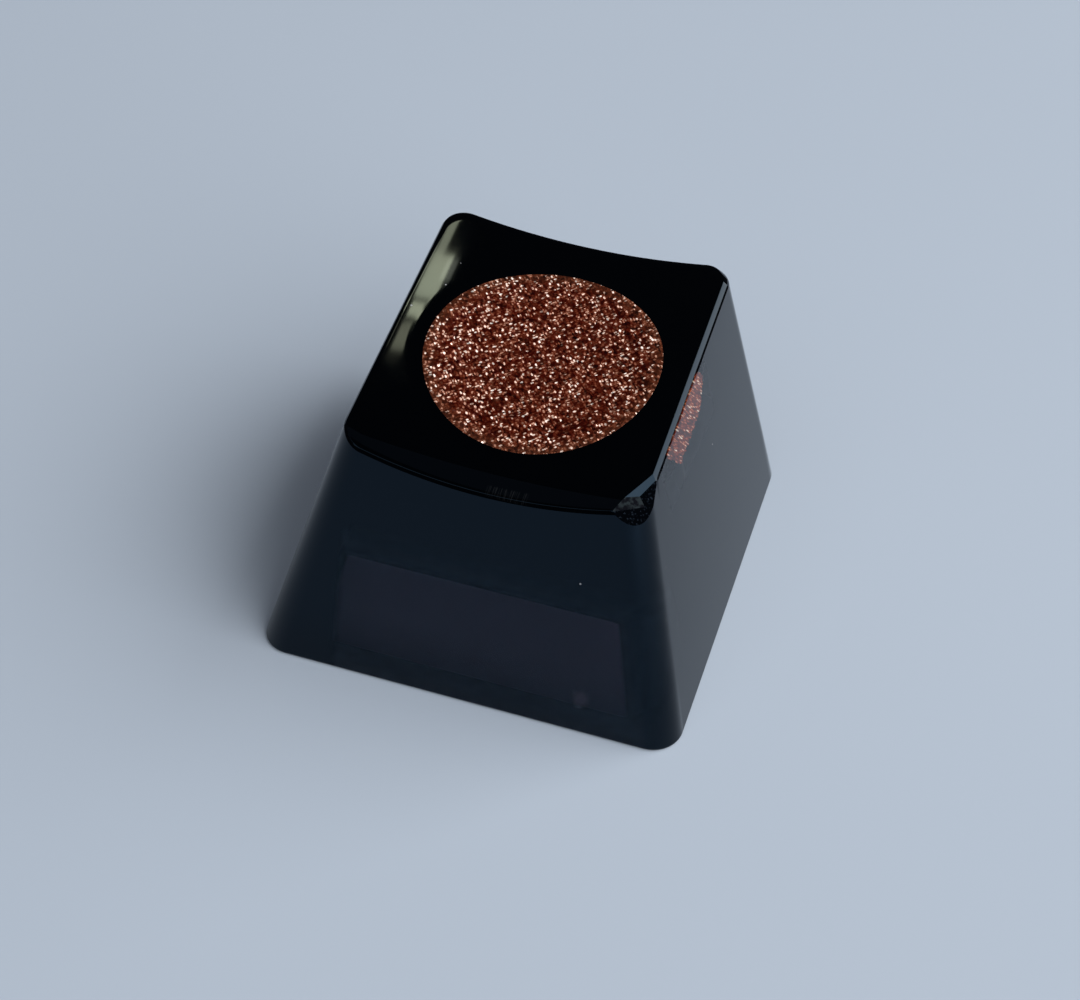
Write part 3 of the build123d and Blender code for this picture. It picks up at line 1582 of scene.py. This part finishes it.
@dataclass(frozen=True)
class FleckPatch:
    """The patch of copper flecks just under the right side, next to the top's edge, in millimetres.

    Its ends lie along the edge and its heights above it, and the streak sizes are one cell's steps.
    """

    name: str = "drifted_flecks"
    form: CapForm = CapForm()
    depth: float = 0.07
    thickness: float = 0.05
    ends: Span = (-4.0, 1.25)
    heights: Span = (-1.85, -0.25)
    streak_across: Pair = (0.130, -0.085)
    streak_down: Pair = (0.163, -0.319)
    streak_start: Pair = (0.37, 0.61)

    def _lay_maps(self, mesh: bmesh.types.BMesh) -> None:
        """Lays the two maps that the flecks are drawn by.

        Args:
            mesh: Mesh of the patch, flat and not yet in its place.
        """
        place = mesh.loops.layers.uv.new(DriftedFlecks.PLACE_MAP)
        streaks = mesh.loops.layers.uv.new(DriftedFlecks.STREAK_MAP)
        to_streaks = Matrix((self.streak_across, self.streak_down)).transposed().inverted()
        for loop in (loop for face in mesh.faces for loop in face.loops):
            loop[place].uv = loop.vert.co.xy
            loop[streaks].uv = to_streaks @ loop.vert.co.xy + Vector(self.streak_start)

    def _side_frame(self) -> Matrix:
        """Finds the frame of the right side at the patch.

        Returns:
            The frame, with its axes along the top's edge, up the side and out of it.
        """
        slope = self.form.side_run / self.form.point(0.0, sum(self.ends) / 2, 0.0).z
        out = Vector((1.0, -slope * math.tan(self.form.top_tilt), slope)).normalized()
        lean = self.form.point(0.0, 1.0, 0.0) - self.form.point(0.0, 0.0, 0.0)
        back = (lean - lean.project(out)).normalized()
        axes = Matrix((back, out.cross(back), out)).transposed().to_4x4()
        return Matrix.Translation(self.form.point(self.form.top_width / 2, 0.0, 0.0)) @ axes

    def build(self) -> bpy.types.Object:
        """Builds the patch as a thin sheet that lies just under the right side.

        Returns:
            The piece, without a material.
        """
        mesh = bmesh.new()
        (front, rear), (low, high) = self.ends, self.heights
        middle = Vector(((front + rear) / 2, (low + high) / 2, -self.depth - self.thickness / 2))
        size = Matrix.Diagonal((rear - front, high - low, self.thickness, 1.0))
        bmesh.ops.create_cube(mesh, size=1.0, matrix=Matrix.Translation(middle) @ size)
        self._lay_maps(mesh)
        bmesh.ops.transform(mesh, matrix=self._side_frame(), verts=mesh.verts)
        return finish_mesh(mesh, self.name)

    def dress(self, piece: bpy.types.Object, flecks: DriftedFlecks) -> None:
        """Gives the flecks their finish and their place in the model."""
        piece.data.materials.append(flecks.material())
        take_place(piece, None)


def take_place(piece: bpy.types.Object, node: Node | None) -> None:
    """Puts a piece into the model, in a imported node's stead where it has one.

    Args:
        piece: The finished piece.
        node: Node that it stands for, if any.
    """
    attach(piece, BODY)
    if node:
        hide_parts(node.value)
    log.info("%s: %d faces, in place of %s", piece.name, len(piece.data.polygons), node)


def heading(bearing: float, elevation: float) -> Vector:
    """Direction from the cap.

    Args:
        bearing: Degrees from straight behind towards the right.
        elevation: Degrees above the floor.

    Returns:
        The direction, one unit long.
    """
    turn, rise = math.radians(bearing), math.radians(elevation)
    return Vector((math.sin(turn) * math.cos(rise), math.cos(turn) * math.cos(rise), math.sin(rise)))


@dataclass(frozen=True)
class SoftBox:
    """A rectangular soft light that faces the cap, with angles in degrees and lengths in metres."""

    name: str
    bearing: float
    elevation: float
    distance: float
    width: float
    height: float
    brightness: float
    colour: Colour

    def build(self) -> bpy.types.Object:
        """Hangs the light.

        Returns:
            The lamp.
        """
        data = bpy.data.lights.new(self.name, "AREA")
        data.shape = "RECTANGLE"
        data.size, data.size_y = self.width, self.height
        data.energy = self.brightness * math.pi * self.width * self.height
        data.color = self.colour
        lamp = bpy.data.objects.new(self.name, data)
        away = heading(self.bearing, self.elevation)
        lamp.location = away * self.distance
        lamp.rotation_mode = "QUATERNION"
        lamp.rotation_quaternion = away.to_track_quat("Z", "Y")
        return link(lamp)


@dataclass(frozen=True)
class Viewpoint:
    """Where the photograph was taken from, with angles in degrees and lengths in metres."""

    azimuth: float = 16.632
    elevation: float = 45.029
    roll: float = 1.791
    distance: float = 0.090
    aim: Triple = (-0.000503, 0.003063, 0.0)
    lens_mm: float = 66.818
    sensor_mm: float = 36.0
    nearest: float = 0.001

    def build(self) -> bpy.types.Object:
        """Sets up the camera.

        Returns:
            The camera.
        """
        data = bpy.data.cameras.new("camera")
        data.sensor_width = self.sensor_mm
        data.lens = self.lens_mm
        data.clip_start = self.nearest
        camera = bpy.data.objects.new("camera", data)
        turn, rise = math.radians(self.azimuth), math.radians(self.elevation)
        back = heading(180.0 - self.azimuth, self.elevation)
        pose = Matrix.Rotation(turn, 4, "Z") @ Matrix.Rotation(math.pi / 2 - rise, 4, "X")
        pose @= Matrix.Rotation(math.radians(self.roll), 4, "Z")
        camera.matrix_world = Matrix.Translation(Vector(self.aim) + back * self.distance) @ pose
        bpy.context.scene.camera = link(camera)
        return camera


@dataclass(frozen=True)
class Studio:
    """Floor, lights and surroundings, in metres."""

    floor_half: float = 4.0
    floor_drop: float = 0.00003
    sheet: PlainSheet = PlainSheet()
    room: Colour = (0.030, 0.034, 0.044)

    # Name, bearing, elevation, distance, width, height, brightness and colour of each light
    lights: tuple[SoftBox, ...] = (
        SoftBox("window", 88.0, 38.0, 0.60, 1.25, 0.62, 3.5, (1.0, 0.99, 0.97)),
        SoftBox("front_fill", 185.0, 55.0, 0.80, 0.90, 0.70, 0.66, (0.96, 0.98, 1.0)),
        SoftBox("top_fill", 0.0, 78.0, 0.80, 1.30, 0.22, 0.07, (0.92, 0.92, 1.0)),
        SoftBox("glint_tail", 3.55, 56.45, 0.50, 0.0077, 0.0131, 8.0, (1.0, 0.80, 0.45)),
        SoftBox("glint_back", 2.65, 57.99, 0.50, 0.0180, 0.0138, 14.0, (1.0, 0.80, 0.44)),
        SoftBox("glint_soft", 0.60, 57.65, 0.50, 0.0089, 0.0070, 4.0, (1.0, 0.80, 0.50)),
        SoftBox("glint_middle", 1.90, 59.22, 0.50, 0.0223, 0.0044, 17.5, (1.0, 0.78, 0.42)),
        SoftBox("glint_front", 3.30, 60.20, 0.50, 0.0113, 0.0083, 6.5, (1.0, 0.74, 0.40)),
    )

    def _floor(self) -> None:
        """Lays the floor."""
        mesh = bmesh.new()
        bmesh.ops.create_grid(mesh, x_segments=1, y_segments=1, size=self.floor_half)
        bmesh.ops.translate(mesh, vec=(0.0, 0.0, -self.floor_drop), verts=mesh.verts)
        floor = link_mesh(mesh, "floor")
        floor.data.materials.append(self.sheet.material())

    def _surroundings(self) -> None:
        """Fills the room with dim light."""
        world = bpy.data.worlds.new("room")
        world.use_nodes = True
        bpy.context.scene.world = world
        bench = NodeBench(world.node_tree)
        glow = bench.add("ShaderNodeBackground", inputs={"Color": self.room, "Strength": 1.0})
        bench.end(bench.read(glow, 0), ending=Ending.WORLD)

    def build(self) -> None:
        """Sets up the whole studio."""
        bpy.context.scene.view_settings.view_transform = "Standard"
        self._floor()
        self._surroundings()
        for light in self.lights:
            light.build()
        log.info("studio: floor and %d lights", len(self.lights))


def main() -> None:
    """Builds the keycap and its studio."""
    logging.basicConfig(level=logging.INFO, format="%(name)s: %(message)s")
    Viewpoint().build()
    Studio().build()
    rough_resin = KnockedResin(
        name="rough_resin",
        light=(0.020, 0.026, 0.030),
        dark=(0.005, 0.0055, 0.008),
        grain=Grain(0.25, 3.0),
        grain_levels=(0.42, 0.60),
    )
    finishes = {
        Finish.POLISHED: PolishedResin(),
        Finish.AS_CAST: CastResin(),
        Finish.KNOCKED: KnockedResin(),
        Finish.ROUGH: rough_resin,
    }
    body = CapBody()
    body.dress(body.build(), finishes)
    inlay = GlitterInlay()
    inlay.dress(inlay.build(), CopperGlitter())
    patch = FleckPatch()
    patch.dress(patch.build(), DriftedFlecks())


if __name__ == "__main__":
    main()
